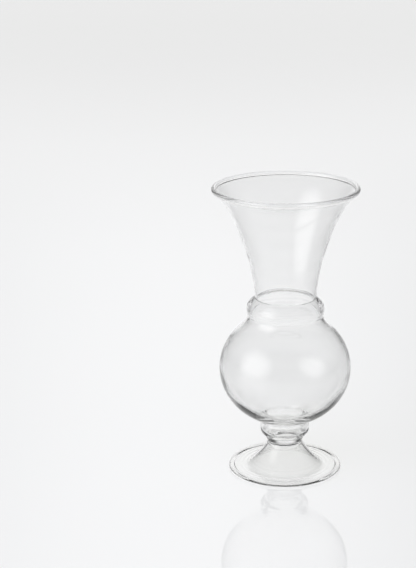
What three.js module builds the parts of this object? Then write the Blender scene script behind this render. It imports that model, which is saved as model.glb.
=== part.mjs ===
// Trumpet vase in clear lamp-worked glass: a trumpet mouth on a ringed neck, a round body,
// a hollow knop and a blown bell foot. Each worked section is its own closed solid, and the
// sections meet face to face at the flat seams where they are fused.
// Millimetres, +Z up. The origin is on the axis, on the surface that the foot stands on.

import * as THREE from 'three';

// Facets around the axis, and steps along one curve of an outline
const AROUND = 48;
const CURVE_STEPS = 9;
const FILLET_STEPS = 3;
const LIP_STEPS = 6;

// Foot
const footRadius = 35.2;
const footHeight = 19.8;
const footTopRadius = 11.7;
const footWall = 1.5;
const footEdgeWidth = 3.8;
const footEdgeHeight = 2.4;
const footEdgeTurn = 147;
const footRestWidth = 1.6;
const footPlateWidth = 6.2;
const footPlatePull = 4.0;
const footBellLean = 32;
const footBellPull = 9.0;
const footCrownWall = 1.0;
const footCrownRounding = 3.5;
const waistRadius = 10.7;
const waistHeight = 17.0;

// Knop, fused on the foot, with its cavity open to the body above
const knopHeight = 10.2;
const knopRadius = 15.2;
const knopShoulderRadius = 5.0;
const knopShoulderTurn = 65;
const knopStraightHeight = 4.0;
const knopCavityRadius = 11.3;
const knopFloorWall = 1.2;
const knopCavityRounding = 4.5;

// Body
const bodyRadius = 40.7;
const bodyHeight = 70.0;
const bodyHalfHeight = 36.3;
const bodyCentreHeight = 36.0;
const bodyWall = 1.6;
const bodyFloorWall = 3.4;
const bodyTopWall = 1.5;
const bodyFootFillet = 5.0;
const bodyFloorFillet = 7.5;
const bodyNeckFillet = 8.0;

// Neck collar
const grooveRadius = 23.4;
const grooveWall = 2.0;
const collarRadius = 23.9;
const collarWall = 2.0;
const collarHeight = 11.4;
const collarBulgeHeight = 4.0;
const collarShoulderPull = 4.3;
const collarNeckPull = 2.2;
const collarNeckSlope = 42;

// Trumpet
const neckRadius = 18.8;
const trumpetWall = 1.3;
const trumpetHeight = 69.5;
const rimRadius = 45.0;
const lipDiameter = 2.8;
const neckLean = 4.2;
const neckPull = 33.8;
const lipAngle = 28.6;
const lipPull = 8.3;

// Heights of the seams, from the foot up
const footTopZ = footHeight;
const knopTopZ = footTopZ + knopHeight;
const grooveZ = knopTopZ + bodyHeight;
const neckZ = grooveZ + collarHeight;
const lipZ = neckZ + trumpetHeight;

// Radii of the bore at the seams
const grooveBore = grooveRadius - grooveWall;
const neckBore = neckRadius - trumpetWall;

const CLEAR_GLASS = { color: 0xf2f5f4, roughness: 0.04, metalness: 0, transparent: true, opacity: 0.35 };

const radians = THREE.MathUtils.degToRad;

// A point of an outline: distance from the axis, and height
function at(radius, height) {
  return new THREE.Vector2(radius, height);
}

function line(from, to) {
  return [from, to];
}

function bend(from, control, to, steps) {
  return new THREE.QuadraticBezierCurve(from, control, to).getPoints(steps);
}

function sweep(from, controlA, controlB, to, steps) {
  return new THREE.CubicBezierCurve(from, controlA, controlB, to).getPoints(steps);
}

// Arc of an ellipse whose centre is at (radius, height), from one angle to another in degrees
function ellipseArc(centre, halfWidth, halfHeight, fromAngle, toAngle, steps) {
  const points = [];
  for (let i = 0; i <= steps; i += 1) {
    const angle = radians(fromAngle + ((toAngle - fromAngle) * i) / steps);
    points.push(at(centre.x + halfWidth * Math.cos(angle), centre.y + halfHeight * Math.sin(angle)));
  }
  return points;
}

// Angle on an ellipse, in degrees, at which it reaches a height above or below its centre
function ellipseAngle(rise, halfHeight) {
  return THREE.MathUtils.radToDeg(Math.asin(THREE.MathUtils.clamp(rise / halfHeight, -1, 1)));
}

// Where the tangent of an ellipse at an angle crosses a given radius
function tangentCrossing(centre, halfWidth, halfHeight, angle, radius) {
  const point = ellipseArc(centre, halfWidth, halfHeight, angle, angle, 1)[0];
  const slope = (-halfHeight * Math.cos(radians(angle))) / (halfWidth * Math.sin(radians(angle)));
  return at(radius, point.y + slope * (radius - point.x));
}

// The other side of a wall: each point of an upward outline moved in towards the axis
function inset(points, wall) {
  return points.map((point, i) => {
    const before = points[Math.max(i - 1, 0)];
    const after = points[Math.min(i + 1, points.length - 1)];
    const along = after.clone().sub(before).normalize();
    return at(point.x - wall * along.y, point.y + wall * along.x);
  });
}

// Outline without the points that repeat their neighbour
function joined(...stretches) {
  const outline = [];
  for (const point of stretches.flat()) {
    const last = outline[outline.length - 1];
    if (!last || last.distanceTo(point) > 0.01) {
      outline.push(point);
    }
  }
  return outline;
}

// One closed solid, turned about +Z from an outline that runs up its outside and down its inside
function turned(name, outline, isRing) {
  const points = isRing ? [...outline, outline[0].clone()] : outline;
  const geometry = new THREE.LatheGeometry(points, AROUND);
  geometry.rotateX(Math.PI / 2);
  const mesh = new THREE.Mesh(geometry, new THREE.MeshStandardMaterial(CLEAR_GLASS));
  mesh.name = name;
  return mesh;
}

// Bell foot, blown hollow and drawn in to a waist. It spreads to a flat plate whose rolled edge
// has a flat ring to stand on
function makeFoot() {
  const halfWidth = footEdgeWidth / 2;
  const halfHeight = footEdgeHeight / 2;
  const restAngle = ellipseAngle(footRestWidth / 2, halfWidth);
  const edgeCentre = at(footRadius - halfWidth, halfHeight * Math.cos(radians(restAngle)));
  const edge = ellipseArc(edgeCentre, halfWidth, halfHeight, restAngle - 90, footEdgeTurn, LIP_STEPS);
  const plateTop = edge[edge.length - 1];
  const bellStart = at(plateTop.x - footPlateWidth, plateTop.y);
  const waist = at(waistRadius, waistHeight);
  const lean = radians(footBellLean);
  const bell = sweep(
    bellStart,
    at(bellStart.x - footPlatePull, bellStart.y),
    at(waist.x + footBellPull * Math.sin(lean), waist.y - footBellPull * Math.cos(lean)),
    waist,
    CURVE_STEPS + FILLET_STEPS,
  );
  const slope = joined(line(plateTop, bellStart), bell);
  const top = at(footTopRadius, footTopZ);
  const throat = bend(waist, at(waistRadius, (waistHeight + footTopZ) / 2), top, FILLET_STEPS);
  const ceiling = footTopZ - footCrownWall;
  const underside = ellipseAngle(edgeCentre.y + footWall - plateTop.y, halfHeight);
  const edgeInside = ellipseArc(
    edgeCentre,
    halfWidth,
    halfHeight,
    180 + underside,
    270 - restAngle,
    FILLET_STEPS,
  );
  const hollow = inset(slope, footWall).filter(
    (point) => point.y < ceiling - footCrownRounding && point.x < edgeInside[0].x,
  );
  const hollowTop = hollow[hollow.length - 1];
  const crown = bend(at(0, ceiling), at(hollowTop.x, ceiling), hollowTop, FILLET_STEPS + 1);
  const outline = joined(crown, hollow.reverse(), edgeInside, edge, slope, throat, [at(0, footTopZ)]);
  return turned('foot', outline, false);
}

// Knop: a thick cup with rounded shoulders
function makeKnop() {
  const shoulderCentre = at(knopRadius - knopShoulderRadius, knopTopZ - knopStraightHeight);
  const shoulder = ellipseArc(
    shoulderCentre,
    knopShoulderRadius,
    knopShoulderRadius,
    -knopShoulderTurn,
    0,
    FILLET_STEPS + 1,
  );
  const floor = footTopZ + knopFloorWall;
  const bowlCentre = at(0, floor + knopCavityRounding);
  const bowl = ellipseArc(bowlCentre, knopCavityRadius, knopCavityRounding, 0, -90, CURVE_STEPS - 2);
  const outline = joined(
    line(at(0, footTopZ), at(footTopRadius, footTopZ)),
    shoulder,
    line(at(knopRadius, knopTopZ), at(knopCavityRadius, knopTopZ)),
    bowl,
  );
  return turned('knop', outline, false);
}

// Body: a squat globe, thicker at its floor, open above to the neck and below to the knop
function makeBody() {
  const centre = at(0, knopTopZ + bodyCentreHeight);
  const lowAngle = ellipseAngle(bodyFootFillet - bodyCentreHeight, bodyHalfHeight);
  const highAngle = ellipseAngle(bodyHeight - bodyNeckFillet - bodyCentreHeight, bodyHalfHeight);
  const globe = ellipseArc(centre, bodyRadius, bodyHalfHeight, lowAngle, highAngle, CURVE_STEPS + 2);
  const foot = bend(
    at(knopRadius, knopTopZ),
    tangentCrossing(centre, bodyRadius, bodyHalfHeight, lowAngle, knopRadius),
    globe[0],
    FILLET_STEPS,
  );
  const neck = bend(
    globe[globe.length - 1],
    tangentCrossing(centre, bodyRadius, bodyHalfHeight, highAngle, grooveRadius),
    at(grooveRadius, grooveZ),
    FILLET_STEPS,
  );

  const innerRadius = bodyRadius - bodyWall;
  const innerHalfHeight = bodyHalfHeight - (bodyFloorWall + bodyTopWall) / 2;
  const innerCentre = at(0, centre.y + (bodyFloorWall - bodyTopWall) / 2);
  const innerLow = ellipseAngle(knopCavityRadius + bodyFloorFillet, innerRadius) - 90;
  const innerHigh = highAngle;
  const bowl = ellipseArc(innerCentre, innerRadius, innerHalfHeight, innerHigh, innerLow, CURVE_STEPS + 2);
  const innerNeck = bend(
    at(grooveBore, grooveZ),
    tangentCrossing(innerCentre, innerRadius, innerHalfHeight, innerHigh, grooveBore),
    bowl[0],
    FILLET_STEPS,
  );
  const innerFoot = bend(
    bowl[bowl.length - 1],
    tangentCrossing(innerCentre, innerRadius, innerHalfHeight, innerLow, knopCavityRadius),
    at(knopCavityRadius, knopTopZ),
    FILLET_STEPS,
  );
  return turned('body', joined(foot, globe, neck, innerNeck, bowl, innerFoot), true);
}

// Outline of one side of the collar: out over the bulge, then in over the shoulder to the neck
function collarSide(lowRadius, bulgeRadius, highRadius, drop) {
  const slope = radians(collarNeckSlope);
  const reach = collarNeckPull + drop;
  const low = at(lowRadius, grooveZ);
  const bulge = at(bulgeRadius, grooveZ + collarBulgeHeight - drop);
  const high = at(highRadius, neckZ);
  const rise = bend(low, at(bulgeRadius, grooveZ + collarBulgeHeight / 3), bulge, FILLET_STEPS - 1);
  const shoulder = sweep(
    bulge,
    at(bulgeRadius, bulge.y + collarShoulderPull),
    at(highRadius + reach * Math.cos(slope), neckZ - reach * Math.sin(slope)),
    high,
    CURVE_STEPS - 3,
  );
  return [...rise, ...shoulder];
}

// Neck collar: the blown ring between the body and the trumpet
function makeNeckCollar() {
  const outside = collarSide(grooveRadius, collarRadius, neckRadius, 0);
  const inside = collarSide(grooveBore, collarRadius - collarWall, neckBore, collarWall / 2);
  return turned('neck_collar', joined(outside, inside.reverse()), true);
}

// Trumpet: a flared tube that ends in a fire-polished lip, which is thicker than the wall on the inside
function makeTrumpet() {
  const lipRadius = lipDiameter / 2;
  const lipCentre = at(rimRadius - lipRadius, lipZ - lipRadius);
  const angle = radians(lipAngle);
  const along = at(Math.cos(angle), Math.sin(angle));
  const outward = at(Math.sin(angle), -Math.cos(angle));
  const flareEnd = lipCentre.clone().addScaledVector(outward, lipRadius);
  const lean = radians(neckLean);
  const neck = at(neckRadius, neckZ);
  const flare = sweep(
    neck,
    at(neck.x + neckPull * Math.sin(lean), neck.y + neckPull * Math.cos(lean)),
    flareEnd.clone().addScaledVector(along, -lipPull),
    flareEnd,
    CURVE_STEPS + 4,
  );
  const root = THREE.MathUtils.radToDeg(Math.acos(Math.max(1 - trumpetWall / lipRadius, -1)));
  const lip = ellipseArc(lipCentre, lipRadius, lipRadius, lipAngle - 90, lipAngle + 270 - root, LIP_STEPS);
  const inside = inset(flare, trumpetWall).filter(
    (point) => point.y > neckZ + trumpetWall && point.distanceTo(lipCentre) > lipRadius * 1.1,
  );
  const outline = joined(flare, lip, inside.reverse(), [at(neckBore, neckZ)]);
  return turned('trumpet', outline, true);
}

const vase = new THREE.Group();
vase.add(makeFoot(), makeKnop(), makeBody(), makeNeckCollar(), makeTrumpet());

export default vase;
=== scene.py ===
"""The looks of a clear glass trumpet vase: lathed glass, a pale glossy sheet and soft studio light."""

import math

import bpy
from mathutils import Matrix, Vector


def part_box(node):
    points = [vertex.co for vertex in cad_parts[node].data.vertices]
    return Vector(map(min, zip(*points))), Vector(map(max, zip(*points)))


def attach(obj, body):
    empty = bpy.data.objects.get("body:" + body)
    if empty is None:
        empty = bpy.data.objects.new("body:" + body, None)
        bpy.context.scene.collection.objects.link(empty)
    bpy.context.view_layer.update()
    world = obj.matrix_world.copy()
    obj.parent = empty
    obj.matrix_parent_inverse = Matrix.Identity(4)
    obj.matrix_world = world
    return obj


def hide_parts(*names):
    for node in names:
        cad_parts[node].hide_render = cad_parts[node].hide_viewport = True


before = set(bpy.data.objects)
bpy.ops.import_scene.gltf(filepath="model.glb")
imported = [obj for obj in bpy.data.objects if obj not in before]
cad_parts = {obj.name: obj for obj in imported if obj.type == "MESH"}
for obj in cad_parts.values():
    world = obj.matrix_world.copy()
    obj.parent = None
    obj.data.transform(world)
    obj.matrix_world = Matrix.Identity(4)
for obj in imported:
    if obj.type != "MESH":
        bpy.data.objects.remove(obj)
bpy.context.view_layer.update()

# Outlines are worked out in millimetres, and one millimetre is this many metres
MM = 0.001

# Facets around the axis, the longest step along an outline, and the steps round a rolled edge or lip
AROUND = 224
STEP = 0.45
FEWEST_STEPS = 4
LIP_STEPS = 40

# Outline points closer than this are one point, and a radius below this is on the axis
SAME_POINT = 0.01
ON_AXIS = 1e-6

# Levels of the seams, and outer radii, from the frame
FOOT_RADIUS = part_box("foot")[1][0] / MM
FOOT_TOP_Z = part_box("foot")[1][2] / MM
KNOP_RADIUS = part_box("knop")[1][0] / MM
KNOP_TOP_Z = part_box("knop")[1][2] / MM
GROOVE_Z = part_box("body")[1][2] / MM
COLLAR_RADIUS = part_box("neck_collar")[1][0] / MM
NECK_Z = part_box("neck_collar")[1][2] / MM

# The round places that the frame's facets cut a little short: the belly, and the mouth's width and top
BODY_RADIUS = 40.7
RIM_RADIUS = 45.0
LIP_Z = 180.9

# Foot
FOOT_WALL = 1.5
FOOT_EDGE_WIDTH = 3.8
FOOT_EDGE_HEIGHT = 2.4
FOOT_EDGE_TURN = 147
FOOT_REST_WIDTH = 1.6
FOOT_PLATE_WIDTH = 6.2
FOOT_PLATE_PULL = 4
FOOT_BELL_LEAN = 32
FOOT_BELL_PULL = 9
FOOT_CROWN_WALL = 1.0
FOOT_CROWN_ROUNDING = 3.5
FOOT_TOP_RADIUS = 11.7
WAIST_RADIUS = 10.7
WAIST_Z = 17.0

# Knop
KNOP_SHOULDER_RADIUS = 5.0
KNOP_SHOULDER_TURN = 65
KNOP_STRAIGHT_HEIGHT = 4.0
KNOP_CAVITY_RADIUS = 11.3
KNOP_FLOOR_WALL = 1.2
KNOP_CAVITY_ROUNDING = 4.5

# Body
BODY_HALF_HEIGHT = 36.3
BODY_CENTRE_HEIGHT = 36.0
BODY_WALL = 1.6
BODY_FLOOR_WALL = 3.4
BODY_TOP_WALL = 1.5
BODY_FOOT_FILLET = 5.0
BODY_FLOOR_FILLET = 7.5
BODY_NECK_FILLET = 8.0

# Neck collar
GROOVE_RADIUS = 23.4
GROOVE_WALL = 2.0
COLLAR_WALL = 2.0
COLLAR_BULGE_HEIGHT = 4.0
COLLAR_SHOULDER_PULL = 4.3
COLLAR_NECK_PULL = 2.2
COLLAR_NECK_SLOPE = 42

# Trumpet
NECK_RADIUS = 18.8
TRUMPET_WALL = 1.3
LIP_DIAMETER = 2.8
LIP_FILLET = 0.8
NECK_LEAN = 4.2
NECK_PULL = 33.8
LIP_ANGLE = 28.6
LIP_PULL = 8.3

GROOVE_BORE = GROOVE_RADIUS - GROOVE_WALL
NECK_BORE = NECK_RADIUS - TRUMPET_WALL

# How far the hand-worked walls stray: as a whole, more on the inside, and most in the knop's cavity
WALL_WANDER = 0.10
INNER_WANDER = 0.03
KNOP_WANDER = 0.3

# Their waves: share, lobes around the axis, twist in radians per millimetre of height, and phase
WALL_WAVES = ((1, 2, 0.02, 0), (0.6, 3, -0.05, 1.3))
INNER_WAVES = ((1, 5, 0.11, 0), (0.7, 7, -0.19, 0.8), (0.7, 2, 0.5, 0))
KNOP_WAVES = ((1, 3, 0.9, 0), (0.6, 5, -1.3, 0))

# Rings that the shaping tool left on the foot and the collar: their sway, of which three tenths
# is left at most once it is eased towards both ends, and their distance apart
TOOL_SWAY = 0.18
TOOL_PITCH = 2.6

# Glass: its tint, how it bends light, its slow ripple, and what it lets through onto the sheet
GLASS_TINT = (0.986, 0.987, 0.986, 1)
GLASS_IOR = 1.47
RIPPLE_SCALE = 45.0
RIPPLE_DETAIL = 1.0
RIPPLE_STRENGTH = 0.1
RIPPLE_HEIGHT = 0.001
GLASS_SHADE = (0.985, 0.985, 0.98, 1)

# Studio: 1 is plain white, and places are parts of a direction, from -1 to 1
ROOM_LEVEL = 0.03
WALL_LEVEL = 0.95
WALL_START = 0.35
WALL_FULL = 0.92
WALL_TOP_START = 0.46
WALL_TOP_END = 0.62
SIDE_START = 0.2
SIDE_END = 0.5
SIDE_SHARE = 0.05
FRONT_LEVEL = 0.22
FRONT_LEVEL_SEEN = 0.6
FRONT_START = 0.3
FRONT_FULL = -0.1

# Window: its level, where it is, its half width in degrees, and the bounces after which it fades
WINDOW_LEVEL = 1.92
WINDOW_DIRECTION = (-0.824, -0.476, 0.309)
WINDOW_EDGE = 36
WINDOW_BOUNCES = 8

# Overhead lamp: strength, and softness and tilt in degrees
OVERHEAD_STRENGTH = 2.68
OVERHEAD_SOFTNESS = 50
OVERHEAD_TILT = (20, -15)

# Sheet: its polish, its reach to each side and its gap under the foot in metres
SHEET_ROUGHNESS = 0.008
SHEET_IOR = 1.7
SHEET_REACH = 12.0
SHEET_GAP = 0.00005

# Sheet: its colour by the vase, where the pale middle is a painted pool of light, and its painted shade
# at the sides and in front, and far behind
SHEET_NEAR = (0.965, 0.97, 0.98, 1)
SHEET_PAINTED_SIDE_SHADE = (0.3, 0.3, 0.3, 1)
SHEET_PAINTED_FAR_SHADE = (0.715, 0.715, 0.715, 1)

# Sheet: where that painted pool of light and painted shade start and end, in metres from the vase
POOL_CENTRE_X = -0.07
POOL_REACH = 0.52
POOL_BACK_START = -1.0
POOL_BACK_END = 1.4
POOL_FRONT_START = 0.15
POOL_FRONT_END = 0.5
POOL_FRONT_SHARE = 0.4
FAR_START = 0.2
FAR_END = 2.2

# Bounces of light in the glass, between pale surfaces, and through the fused seams
GLASS_BOUNCES = 256
PALE_BOUNCES = 8
SEAM_BOUNCES = 64

# Camera: place, lens and sensor in millimetres, angles in degrees
CAMERA_PLACE = (-47.4, -931.0, 397.2)
CAMERA_PITCH = 16.57
CAMERA_ROLL = -0.57
CAMERA_LENS = 100.53
CAMERA_SENSOR = 36.0


# Outlines: each is a list of (radius, height) points


def steps_for(length):
    """How many steps a stretch of that length is drawn with."""
    return max(FEWEST_STEPS, math.ceil(length / STEP))


def length_of(points):
    """The length of the line through the points."""
    return sum((b - a).length for a, b in zip(points, points[1:]))


def sweep(start, control_a, control_b, end):
    """Points along a cubic curve, evenly enough spaced for its length."""
    a, b, c, d = [Vector(p) for p in (start, control_a, control_b, end)]
    count = steps_for(length_of([a, b, c, d]))
    points = []
    for i in range(count + 1):
        t = i / count
        u = 1 - t
        points.append(u**3 * a + 3 * u * u * t * b + 3 * u * t * t * c + t**3 * d)
    return points


def straight(start, end):
    """Points along a straight stretch."""
    start, end = Vector(start), Vector(end)
    return sweep(start, start.lerp(end, 1 / 3), start.lerp(end, 2 / 3), end)


def bend(start, control, end):
    """Points along a quadratic curve."""
    start, control, end = Vector(start), Vector(control), Vector(end)
    return sweep(start, start.lerp(control, 2 / 3), end.lerp(control, 2 / 3), end)


def ellipse_point(centre, half_width, half_height, angle):
    """The point of an ellipse at an angle in degrees."""
    turn = math.radians(angle)
    return Vector((centre[0] + half_width * math.cos(turn), centre[1] + half_height * math.sin(turn)))


def ellipse_arc(centre, half_width, half_height, from_angle, to_angle, count=None):
    """Points along an arc of an ellipse, between two angles in degrees."""
    length = abs(math.radians(to_angle - from_angle)) * max(half_width, half_height)
    count = count or steps_for(length)
    points = []
    for i in range(count + 1):
        angle = from_angle + (to_angle - from_angle) * i / count
        points.append(ellipse_point(centre, half_width, half_height, angle))
    return points


def ellipse_angle(rise, half_height):
    """The angle in degrees at which an ellipse has risen that far above its centre."""
    return math.degrees(math.asin(max(-1, min(1, rise / half_height))))


def tangent_crossing(centre, half_width, half_height, angle, radius):
    """Where the tangent of an ellipse at an angle crosses a given radius."""
    point = ellipse_point(centre, half_width, half_height, angle)
    turn = math.radians(angle)
    slope = -half_height * math.cos(turn) / (half_width * math.sin(turn))
    return (radius, point[1] + slope * (radius - point[0]))


def inset(points, wall):
    """The other side of a wall: each point of an upward outline moved in towards the axis."""
    moved = []
    for i, point in enumerate(points):
        before, after = points[max(i - 1, 0)], points[min(i + 1, len(points) - 1)]
        along = (after - before).normalized()
        moved.append(Vector((point[0] - wall * along[1], point[1] + wall * along[0])))
    return moved


def tooled(points):
    """Fine rings left by the tool: the outline sways most near its start and is still at both ends."""
    length = length_of(points)
    swayed, gone = [points[0]], 0
    for before, point, after in zip(points, points[1:], points[2:]):
        gone += (point - before).length
        along = (after - before).normalized()
        share = gone / length
        depth = TOOL_SWAY * math.sin(math.pi * share) * (1 - share) ** 3
        sway = depth * math.sin(2 * math.pi * gone / TOOL_PITCH)
        swayed.append(point + sway * Vector((-along[1], along[0])))
    return swayed + [points[-1]]


def joined(*stretches):
    """One outline from its stretches, without points that repeat their neighbour."""
    outline = []
    for stretch in stretches:
        for point in stretch:
            point = Vector(point)
            if not outline or (outline[-1] - point).length > SAME_POINT:
                outline.append(point)
    return outline


# Each section is a list of skins: (points, kind), where the kind is OUTSIDE, INSIDE or SEAM

OUTSIDE, INSIDE, SEAM = "outside", "inside", "seam"

# The places of a section's materials in its list
GLASS_SLOT, SEAM_SLOT = 0, 1


def ring_skins(outside, inside):
    """The skins of a section that is open at both ends."""
    return [
        (outside, OUTSIDE),
        ([outside[-1], inside[0]], SEAM),
        (inside, INSIDE),
        ([inside[-1], outside[0]], SEAM),
    ]


def foot_slope(plate_top):
    """The top of the foot, in over the flat plate and up the bell to the waist."""
    bell_start = plate_top - Vector((FOOT_PLATE_WIDTH, 0))
    waist = Vector((WAIST_RADIUS, WAIST_Z))
    lean = math.radians(FOOT_BELL_LEAN)
    bell = sweep(
        bell_start,
        (bell_start[0] - FOOT_PLATE_PULL, bell_start[1]),
        (waist[0] + FOOT_BELL_PULL * math.sin(lean), waist[1] - FOOT_BELL_PULL * math.cos(lean)),
        waist,
    )
    return joined(straight(plate_top, bell_start), bell)


def foot_skins():
    """A hollow bell on a flat plate with a rolled oval edge."""
    half_width, half_height = FOOT_EDGE_WIDTH / 2, FOOT_EDGE_HEIGHT / 2
    rest_angle = ellipse_angle(FOOT_REST_WIDTH / 2, half_width)
    edge_centre = (FOOT_RADIUS - half_width, half_height * math.cos(math.radians(rest_angle)))
    edge = ellipse_arc(edge_centre, half_width, half_height, rest_angle - 90, FOOT_EDGE_TURN, LIP_STEPS)
    plate_top = edge[-1]
    slope = foot_slope(plate_top)
    top = Vector((FOOT_TOP_RADIUS, FOOT_TOP_Z))
    throat = bend(slope[-1], (WAIST_RADIUS, (WAIST_Z + FOOT_TOP_Z) / 2), top)
    underside = ellipse_angle(edge_centre[1] + FOOT_WALL - plate_top[1], half_height)
    edge_inside = ellipse_arc(
        edge_centre, half_width, half_height, 180 + underside, 270 - rest_angle, LIP_STEPS // 2
    )
    ceiling = FOOT_TOP_Z - FOOT_CROWN_WALL
    hollow = [
        p
        for p in inset(slope, FOOT_WALL)
        if p[1] < ceiling - FOOT_CROWN_ROUNDING and p[0] < edge_inside[0][0]
    ]
    crown = bend((0, ceiling), (hollow[-1][0], ceiling), hollow[-1])
    under = joined(crown, hollow[::-1], edge_inside)
    over = joined(edge, tooled(slope), throat)
    return [
        (under, INSIDE),
        ([under[-1], over[0]], INSIDE),
        (over, OUTSIDE),
        ([top, Vector((0, FOOT_TOP_Z))], SEAM),
    ]


def knop_skins():
    """A small cup: a short stem, a round shoulder and a straight side, with a bowl inside."""
    low = Vector((FOOT_TOP_RADIUS, FOOT_TOP_Z))
    radius = KNOP_SHOULDER_RADIUS
    shoulder_centre = (KNOP_RADIUS - radius, KNOP_TOP_Z - KNOP_STRAIGHT_HEIGHT)
    shoulder = ellipse_arc(shoulder_centre, radius, radius, -KNOP_SHOULDER_TURN, 0)
    stem = [low, shoulder[0]]
    side = straight(shoulder[-1], (KNOP_RADIUS, KNOP_TOP_Z))
    bowl_centre = (0, FOOT_TOP_Z + KNOP_FLOOR_WALL + KNOP_CAVITY_ROUNDING)
    bowl = ellipse_arc(bowl_centre, KNOP_CAVITY_RADIUS, KNOP_CAVITY_ROUNDING, 0, -90)
    wall = straight((KNOP_CAVITY_RADIUS, KNOP_TOP_Z), bowl[0])
    return [
        ([Vector((0, FOOT_TOP_Z)), low], SEAM),
        (joined(stem, shoulder, side), OUTSIDE),
        ([side[-1], wall[0]], SEAM),
        (joined(wall, bowl), INSIDE),
    ]


def body_skins():
    """A squat globe that opens into the knop below and the collar above."""
    centre = (0, KNOP_TOP_Z + BODY_CENTRE_HEIGHT)
    low = ellipse_angle(BODY_FOOT_FILLET - BODY_CENTRE_HEIGHT, BODY_HALF_HEIGHT)
    high = ellipse_angle(GROOVE_Z - BODY_NECK_FILLET - centre[1], BODY_HALF_HEIGHT)
    globe = ellipse_arc(centre, BODY_RADIUS, BODY_HALF_HEIGHT, low, high)
    foot = bend(
        (KNOP_RADIUS, KNOP_TOP_Z),
        tangent_crossing(centre, BODY_RADIUS, BODY_HALF_HEIGHT, low, KNOP_RADIUS),
        globe[0],
    )
    neck = bend(
        globe[-1],
        tangent_crossing(centre, BODY_RADIUS, BODY_HALF_HEIGHT, high, GROOVE_RADIUS),
        (GROOVE_RADIUS, GROOVE_Z),
    )
    inner_radius = BODY_RADIUS - BODY_WALL
    inner_half = BODY_HALF_HEIGHT - (BODY_FLOOR_WALL + BODY_TOP_WALL) / 2
    inner_centre = (0, centre[1] + (BODY_FLOOR_WALL - BODY_TOP_WALL) / 2)
    inner_low = ellipse_angle(KNOP_CAVITY_RADIUS + BODY_FLOOR_FILLET, inner_radius) - 90
    bowl = ellipse_arc(inner_centre, inner_radius, inner_half, high, inner_low)
    inner_neck = bend(
        (GROOVE_BORE, GROOVE_Z),
        tangent_crossing(inner_centre, inner_radius, inner_half, high, GROOVE_BORE),
        bowl[0],
    )
    inner_foot = bend(
        bowl[-1],
        tangent_crossing(inner_centre, inner_radius, inner_half, inner_low, KNOP_CAVITY_RADIUS),
        (KNOP_CAVITY_RADIUS, KNOP_TOP_Z),
    )
    return ring_skins(joined(foot, globe, neck), joined(inner_neck, bowl, inner_foot))


def collar_side(low_radius, bulge_radius, high_radius, drop):
    """One side of the collar: out over the bulge, then in to a crisp corner at the neck."""
    bulge = (bulge_radius, GROOVE_Z + COLLAR_BULGE_HEIGHT - drop)
    slope = math.radians(COLLAR_NECK_SLOPE)
    reach = COLLAR_NECK_PULL + drop
    rise = bend((low_radius, GROOVE_Z), (bulge_radius, GROOVE_Z + COLLAR_BULGE_HEIGHT / 3), bulge)
    shoulder = sweep(
        bulge,
        (bulge_radius, bulge[1] + COLLAR_SHOULDER_PULL),
        (high_radius + reach * math.cos(slope), NECK_Z - reach * math.sin(slope)),
        (high_radius, NECK_Z),
    )
    return joined(rise, shoulder)


def collar_skins():
    """A blown ring between the body and the trumpet."""
    outside = tooled(collar_side(GROOVE_RADIUS, COLLAR_RADIUS, NECK_RADIUS, 0))
    inside = collar_side(GROOVE_BORE, COLLAR_RADIUS - COLLAR_WALL, NECK_BORE, COLLAR_WALL / 2)
    return ring_skins(outside, inside[::-1])


def trumpet_skins():
    """A flared tube with a round lip, which bulges on the inside."""
    lip_radius = LIP_DIAMETER / 2
    lip_centre = Vector((RIM_RADIUS - lip_radius, LIP_Z - lip_radius))
    angle = math.radians(LIP_ANGLE)
    along = Vector((math.cos(angle), math.sin(angle)))
    outward = Vector((math.sin(angle), -math.cos(angle)))
    flare_end = lip_centre + outward * lip_radius
    lean = math.radians(NECK_LEAN)
    neck = Vector((NECK_RADIUS, NECK_Z))
    flare = sweep(
        neck,
        neck + NECK_PULL * Vector((math.sin(lean), math.cos(lean))),
        flare_end - along * LIP_PULL,
        flare_end,
    )
    root_angle = LIP_ANGLE + 270 - math.degrees(math.acos(1 - TRUMPET_WALL / lip_radius))
    root = ellipse_point(lip_centre, lip_radius, lip_radius, root_angle)
    fillet_angle = root_angle - math.degrees(LIP_FILLET / lip_radius)
    lip = ellipse_arc(lip_centre, lip_radius, lip_radius, LIP_ANGLE - 90, fillet_angle, LIP_STEPS)
    inner = [
        p
        for p in inset(flare, TRUMPET_WALL)
        if p[1] > NECK_Z + STEP and (p - lip_centre).length > lip_radius + LIP_FILLET
    ]
    fillet = bend(lip[-1], root, inner[-1])
    outside = joined(flare, lip)
    inside = joined(fillet, inner[::-1], [(NECK_BORE, NECK_Z)])
    return [(outside, OUTSIDE), (inside, INSIDE), ([inside[-1], outside[0]], SEAM)]


# Meshes


def swing(waves, turn, height):
    """The sum of a few waves that run round the axis and twist with height."""
    return sum(
        share * math.sin(lobes * turn + twist * height + phase) for share, lobes, twist, phase in waves
    )


def wander(turn, height, kind):
    """How far a hand-worked wall strays outwards, in millimetres, at an angle and a height."""
    stray = WALL_WANDER * swing(WALL_WAVES, turn, height)
    if kind == INSIDE:
        stray += INNER_WANDER * swing(INNER_WAVES, turn, height)
        if FOOT_TOP_Z < height < KNOP_TOP_Z:
            depth = (KNOP_TOP_Z - height) / (KNOP_TOP_Z - FOOT_TOP_Z)
            stray += KNOP_WANDER * depth * swing(KNOP_WAVES, turn, height)
    return stray


def ring_of(point, kind):
    """The vertices of one turn of an outline point, in metres. A point on the axis has just one."""
    if point[0] < ON_AXIS:
        return [(0.0, 0.0, point[1] * MM)]
    fade = min(1, point[0] / WAIST_RADIUS)
    ring = []
    for k in range(AROUND):
        turn = 2 * math.pi * k / AROUND
        radius = point[0] + wander(turn, point[1], kind) * fade
        ring.append((radius * math.cos(turn) * MM, radius * math.sin(turn) * MM, point[1] * MM))
    return ring


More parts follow.
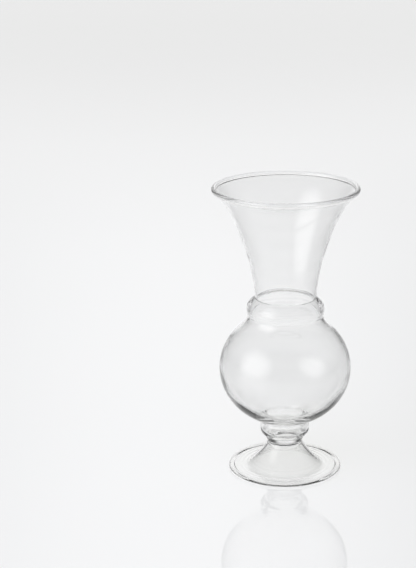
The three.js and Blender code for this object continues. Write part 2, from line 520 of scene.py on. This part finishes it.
def outline_of(skins):
    """The outline round a wall: its points, the kind of skin at each, and which steps are seams."""
    points, kinds, seams = [], [], []
    for index, (skin, kind) in enumerate(skins):
        for point in skin[:-1]:
            points.append(point)
            kinds.append(skins[index - 1][1] if kind == SEAM else kind)
            seams.append(kind == SEAM)
    last = skins[-1][0][-1]
    if (last - points[0]).length > SAME_POINT:
        points.append(last)
        kinds.append(skins[-1][1])
    return points, kinds, seams


def turned_faces(points, starts, seams):
    """The faces between neighbouring rings, the slot of each, and the edges where a seam ends."""
    faces, slots, crisp = [], [], set()
    for i, is_seam in enumerate(seams):
        j = (i + 1) % len(points)
        a, b = starts[i], starts[j]
        a_pole, b_pole = points[i][0] < ON_AXIS, points[j][0] < ON_AXIS
        for k in range(AROUND):
            n = (k + 1) % AROUND
            if a_pole:
                faces.append((a, b + n, b + k))
            elif b_pole:
                faces.append((a + k, a + n, b))
            else:
                faces.append((a + k, a + n, b + n, b + k))
            slots.append(SEAM_SLOT if is_seam else GLASS_SLOT)
            if is_seam and not a_pole:
                crisp.add(frozenset((a + k, a + n)))
            if is_seam and not b_pole:
                crisp.add(frozenset((b + k, b + n)))
    return faces, slots, crisp


def add_object(name, data):
    """An object of that name, put in the scene."""
    added =bpy.data.objects.new(name, data)
    bpy.context.collection.objects.link(added)
    return added


def lathe(name, skins, materials):
    """A closed mesh from the skins, in order round the wall. Borders of a seam are crisp."""
    points, kinds, seams = outline_of(skins)
    verts, starts = [], []
    for point, kind in zip(points, kinds):
        starts.append(len(verts))
        verts.extend(ring_of(point, kind))
    faces, slots, crisp = turned_faces(points, starts, seams)
    mesh = bpy.data.meshes.new(name)
    mesh.from_pydata(verts, [], faces)
    for material in materials:
        mesh.materials.append(material)
    for polygon, slot in zip(mesh.polygons, slots):
        polygon.material_index = slot
        polygon.use_smooth = True
    for edge in mesh.edges:
        edge.use_edge_sharp = frozenset(edge.vertices) in crisp
    mesh.update()
    return add_object(name, mesh)


# Materials


def new_material(name):
    """A new material: itself, its nodes, their links and its main shader."""
    material =bpy.data.materials.new(name)
    material.use_nodes = True
    nodes = material.node_tree.nodes
    return material, nodes, material.node_tree.links, nodes["Principled BSDF"]


def smooth_step(nodes, links, value, from_min, from_max, to_min, to_max):
    """A value eased from one level to another."""
    step = nodes.new("ShaderNodeMapRange")
    step.interpolation_type = "SMOOTHSTEP"
    step.inputs["From Min"].default_value = from_min
    step.inputs["From Max"].default_value = from_max
    step.inputs["To Min"].default_value = to_min
    step.inputs["To Max"].default_value = to_max
    links.new(value, step.inputs["Value"])
    return step.outputs["Result"]


def combine(nodes, links, operation, first, *others):
    """Values added, multiplied or compared, one after another."""
    for other in others:
        node = nodes.new("ShaderNodeMath")
        node.operation = operation
        links.new(first, node.inputs[0])
        links.new(other, node.inputs[1])
        first = node.outputs[0]
    return first


# A mix node has its sockets once for each kind of value, and these are the ones for colours
MIX_FIRST = 6
MIX_SECOND = 7
MIX_RESULT = 2


def blend_colours(nodes, links, factor, first, second):
    """A mix of two colours, each a plain colour or the result of another mix."""
    blend = nodes.new("ShaderNodeMix")
    blend.data_type = "RGBA"
    links.new(factor, blend.inputs["Factor"])
    for socket, colour in ((blend.inputs[MIX_FIRST], first), (blend.inputs[MIX_SECOND], second)):
        if isinstance(colour, tuple):
            socket.default_value = colour
        else:
            links.new(colour, socket)
    return blend.outputs[MIX_RESULT]


def clear_glass():
    """Fire-polished clear glass, with the slow ripple of a hand-worked surface."""
    material, nodes, links, shader = new_material("clear_glass")
    shader.inputs["Base Color"].default_value = GLASS_TINT
    shader.inputs["Roughness"].default_value = 0.0
    shader.inputs["IOR"].default_value = GLASS_IOR
    shader.inputs["Transmission Weight"].default_value = 1.0
    place = nodes.new("ShaderNodeTexCoord")
    ripple = nodes.new("ShaderNodeTexNoise")
    ripple.inputs["Scale"].default_value = RIPPLE_SCALE
    ripple.inputs["Detail"].default_value = RIPPLE_DETAIL
    bump = nodes.new("ShaderNodeBump")
    bump.inputs["Strength"].default_value = RIPPLE_STRENGTH
    bump.inputs["Distance"].default_value = RIPPLE_HEIGHT
    links.new(place.outputs["Object"], ripple.inputs["Vector"])
    links.new(ripple.outputs["Fac"], bump.inputs["Height"])
    links.new(bump.outputs["Normal"], shader.inputs["Normal"])
    path = nodes.new("ShaderNodeLightPath").outputs
    lighting = combine(nodes, links, "MAXIMUM", path["Is Shadow Ray"], path["Is Diffuse Ray"])
    through = nodes.new("ShaderNodeBsdfTransparent")
    through.inputs["Color"].default_value = GLASS_SHADE
    mix = nodes.new("ShaderNodeMixShader")
    links.new(lighting, mix.inputs["Fac"])
    links.new(shader.outputs["BSDF"], mix.inputs[1])
    links.new(through.outputs["BSDF"], mix.inputs[2])
    links.new(mix.outputs["Shader"], nodes["Material Output"].inputs["Surface"])
    return material


def fused_seam():
    """Where two sections are fused, light goes straight through."""
    material, nodes, links, shader = new_material("fused_seam")
    clear = nodes.new("ShaderNodeBsdfTransparent")
    links.new(clear.outputs["BSDF"], nodes["Material Output"].inputs["Surface"])
    nodes.remove(shader)
    return material


def painted_light_sheet():
    """A glossy sheet, pale around and behind the vase as a painted pool of light, with painted shade to
    the sides and in front, and far behind.
    """
    material, nodes, links, shader = new_material("painted_light_sheet")
    shader.inputs["Roughness"].default_value = SHEET_ROUGHNESS
    shader.inputs["IOR"].default_value = SHEET_IOR
    place = nodes.new("ShaderNodeTexCoord")
    split = nodes.new("ShaderNodeSeparateXYZ")
    links.new(place.outputs["Object"], split.inputs["Vector"])
    across, along = split.outputs["X"], split.outputs["Y"]
    # Painted shade: the sheet's colour darkens towards both sides, less so far back, and in front,
    # where less light falls
    left = smooth_step(nodes, links, across, POOL_CENTRE_X, POOL_CENTRE_X - POOL_REACH, 0, 1)
    right = smooth_step(nodes, links, across, POOL_CENTRE_X, POOL_CENTRE_X + POOL_REACH, 0, 1)
    near = smooth_step(nodes, links, along, POOL_BACK_START, POOL_BACK_END, 1, 0)
    side = combine(nodes, links, "MULTIPLY", combine(nodes, links, "ADD", left, right), near)
    front = smooth_step(nodes, links, along, -POOL_FRONT_START, -POOL_FRONT_END, 0, POOL_FRONT_SHARE)
    # dim is the mask of that painted shade, laid over the pale painted pool of light by the vase
    dim = combine(nodes, links, "MAXIMUM", side, front)
    # Painted shade: the sheet's colour grows darker far behind the vase, as light falls off with
    # distance
    far = smooth_step(nodes, links, along, FAR_START, FAR_END, 0, 1)
    colour = blend_colours(nodes, links, far, SHEET_NEAR, SHEET_PAINTED_FAR_SHADE)
    colour = blend_colours(nodes, links, dim, colour, SHEET_PAINTED_SIDE_SHADE)
    links.new(colour, shader.inputs["Base Color"])
    return material


# Stage


def add_sheet():
    """The level sheet that the vase stands on."""
    reach, level = SHEET_REACH, -SHEET_GAP
    corners = [
        (-reach, -reach, level),
        (reach, -reach, level),
        (reach, reach, level),
        (-reach, reach, level),
    ]
    mesh = bpy.data.meshes.new("sheet_floor")
    mesh.from_pydata(corners, [], [(0, 1, 2, 3)])
    mesh.materials.append(painted_light_sheet())
    floor = add_object("sheet_floor", mesh)


def wall_light(nodes, links, split, low):
    """The pale wall behind the vase, which leaves the sides dim."""
    wall = smooth_step(nodes, links, split.outputs["Y"], WALL_START, WALL_FULL, ROOM_LEVEL, WALL_LEVEL)
    sideways = nodes.new("ShaderNodeMath")
    sideways.operation = "ABSOLUTE"
    links.new(split.outputs["X"], sideways.inputs[0])
    middle = smooth_step(nodes, links, sideways.outputs[0], SIDE_START, SIDE_END, 1, SIDE_SHARE)
    return combine(nodes, links, "MULTIPLY", wall, low, middle)


def front_light(nodes, links, split, low, path):
    """The room in front of the vase, paler to the eye than in the glass."""
    seen = path.outputs["Is Camera Ray"]
    level = smooth_step(nodes, links, seen, 0, 1, FRONT_LEVEL, FRONT_LEVEL_SEEN)
    front = smooth_step(nodes, links, split.outputs["Y"], FRONT_START, FRONT_FULL, 0, 1)
    return combine(nodes, links, "MULTIPLY", front, low, level)


def window_light(nodes, links, direction, path):
    """A big soft round window at the left, which fades from light that has bounced often."""
    facing = nodes.new("ShaderNodeVectorMath")
    facing.operation = "DOT_PRODUCT"
    facing.inputs[1].default_value = Vector(WINDOW_DIRECTION).normalized()
    links.new(direction, facing.inputs[0])
    edge = math.cos(math.radians(WINDOW_EDGE))
    window = smooth_step(nodes, links, facing.outputs["Value"], edge, 1, 0, 1)
    bounces = path.outputs["Ray Depth"]
    level = smooth_step(nodes, links, bounces, WINDOW_BOUNCES, WINDOW_BOUNCES + 1, WINDOW_LEVEL, 0)
    return combine(nodes, links, "MULTIPLY", window, level)


def add_world():
    """A pale wall behind, a soft window at the left, and a dimmer room at the sides and in front."""
    world = bpy.data.worlds.new("studio")
    world.use_nodes = True
    nodes, links = world.node_tree.nodes, world.node_tree.links
    direction = nodes.new("ShaderNodeTexCoord").outputs["Generated"]
    split = nodes.new("ShaderNodeSeparateXYZ")
    links.new(direction, split.inputs["Vector"])
    path = nodes.new("ShaderNodeLightPath")
    low = smooth_step(nodes, links, split.outputs["Z"], WALL_TOP_START, WALL_TOP_END, 1, ROOM_LEVEL)
    wall = wall_light(nodes, links, split, low)
    front = front_light(nodes, links, split, low, path)
    window = window_light(nodes, links, direction, path)
    level = combine(nodes, links, "ADD", wall, front, window)
    links.new(level, nodes["Background"].inputs["Strength"])
    nodes["Background"].inputs["Color"].default_value = (1, 1, 1, 1)
    bpy.context.scene.world = world


def add_overhead_lamp():
    """Broad soft light from above, which shows on the sheet but not as a spot in the glass."""
    data = bpy.data.lights.new("overhead", "SUN")
    data.energy = OVERHEAD_STRENGTH
    data.angle = math.radians(OVERHEAD_SOFTNESS)
    lamp = add_object("overhead", data)
    lamp.rotation_euler = [math.radians(turn) for turn in (*OVERHEAD_TILT, 0)]
    lamp.visible_glossy = False
    lamp.visible_transmission = False


def let_light_through():
    """Enough bounces for light to find its way along the thick rims and the foot."""
    cycles = bpy.context.scene.cycles
    cycles.max_bounces = GLASS_BOUNCES
    cycles.transmission_bounces = GLASS_BOUNCES
    cycles.glossy_bounces = GLASS_BOUNCES
    cycles.diffuse_bounces = PALE_BOUNCES
    cycles.transparent_max_bounces = SEAM_BOUNCES
    cycles.blur_glossy = 0.0
    cycles.caustics_refractive = False
    cycles.caustics_reflective = False


def add_camera():
    """The camera, in front of the vase and looking down at it a little."""
    data = bpy.data.cameras.new("camera")
    data.lens = CAMERA_LENS
    data.sensor_width = CAMERA_SENSOR
    camera = add_object("camera", data)
    pitch, roll = math.radians(CAMERA_PITCH), math.radians(CAMERA_ROLL)
    forward = Vector((0, math.cos(pitch), -math.sin(pitch)))
    level_right = Vector((1, 0, 0))
    level_up = Vector((0, math.sin(pitch), math.cos(pitch)))
    right = level_right * math.cos(roll) + level_up * math.sin(roll)
    up = level_up * math.cos(roll) - level_right * math.sin(roll)
    matrix = Matrix((right, up, -forward)).transposed().to_4x4()
    matrix.translation = Vector(CAMERA_PLACE) * MM
    camera.matrix_world = matrix
    bpy.context.scene.camera = camera


def add_vase():
    """The five glass sections, each in the place of its node."""
    materials = [clear_glass(), fused_seam()]
    sections = {
        "foot": foot_skins,
        "knop": knop_skins,
        "body": body_skins,
        "neck_collar": collar_skins,
        "trumpet": trumpet_skins,
    }
    for node, skins in sections.items():
        piece = lathe("glass_" + node, skins(), materials)
        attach(piece, "root")
        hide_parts(node)


add_camera()
let_light_through()
add_world()
add_overhead_lamp()
add_sheet()
add_vase()
bpy.context.scene.view_settings.view_transform = "Standard"
